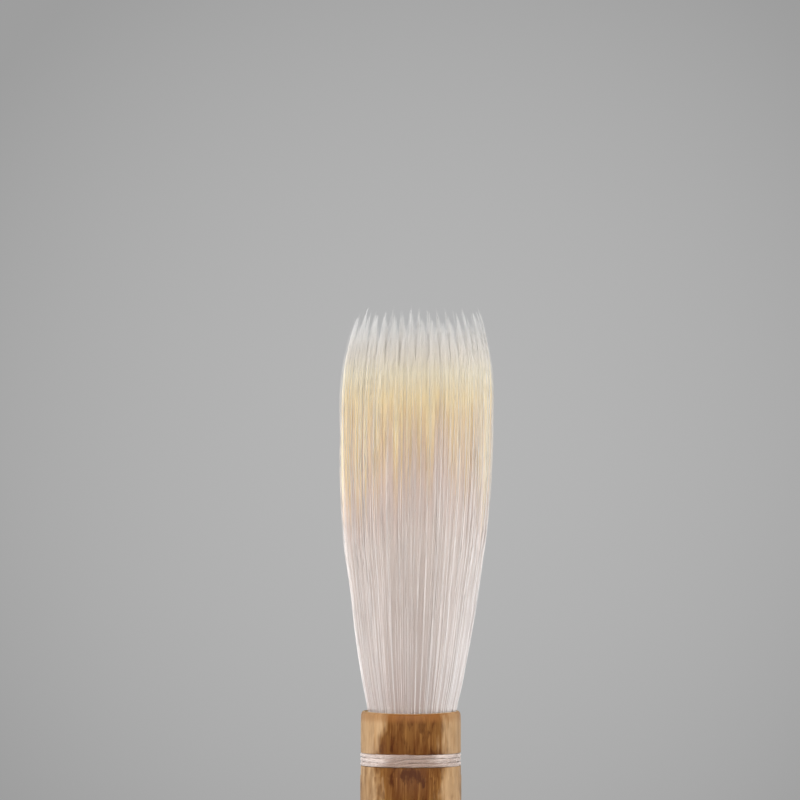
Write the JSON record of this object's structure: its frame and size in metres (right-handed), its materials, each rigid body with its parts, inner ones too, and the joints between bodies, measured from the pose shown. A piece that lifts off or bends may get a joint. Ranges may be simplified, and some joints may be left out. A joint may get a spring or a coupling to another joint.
{
  "type": "calligraphy brush",
  "caption": "Calligraphy brush: bamboo handle with a thread-bound socket at its head, a long blunt tuft of pale goat hair, and a turned end cap to stand on.",
  "frame": {"origin": "centre of the end cap's flat outer face, which the brush stands on", "axes": "+Z along the handle from the end cap to the hair; X and Y are across it, with the binding thread's steps at -Y"},
  "size_m": [0.0182, 0.0182, 0.2431],
  "materials": {
    "mottled_bamboo": "satin natural bamboo skin, mottled brown",
    "binding_silk": "twisted undyed thread with a soft sheen",
    "hemp": "matt hemp cord",
    "seared_hair": "scorched, hard and matt",
    "hide_glue": "set amber hide glue",
    "dark_horn": "polished buffalo horn",
    "core_goat_hair": "cream goat hair",
    "cover_goat_hair": "white goat hair, creamy yellow near its tips"
  },
  "bodies": {
    "handle": {"end_cap": "dark_horn", "bamboo_handle": "mottled_bamboo", "binding_thread": "binding_silk", "socket_glue": "hide_glue", "seared_root": "seared_hair", "root_tie": "hemp", "core_hair_root": "core_goat_hair", "cover_hair_root": "cover_goat_hair"},
    "tuft_waist": {"core_hair_waist": "core_goat_hair", "cover_hair_waist": "cover_goat_hair"},
    "tuft_tip": {"core_hair_tip": "core_goat_hair", "cover_hair_tip": "cover_goat_hair"}
  },
  "joints": [
    {"name": "neck_flex", "type": "hinge", "parent": "handle", "child": "tuft_waist", "pos_m": [0, 0, 0.2008], "axis": [0, 1, 0], "range_deg": [-35, 35], "stiffness_Nm_per_rad": 0.02},
    {"name": "waist_flex", "type": "hinge", "parent": "tuft_waist", "child": "tuft_tip", "pos_m": [0, 0, 0.2163], "axis": [1, 0, 0], "range_deg": [-35, 35], "stiffness_Nm_per_rad": 0.012}
  ]
}
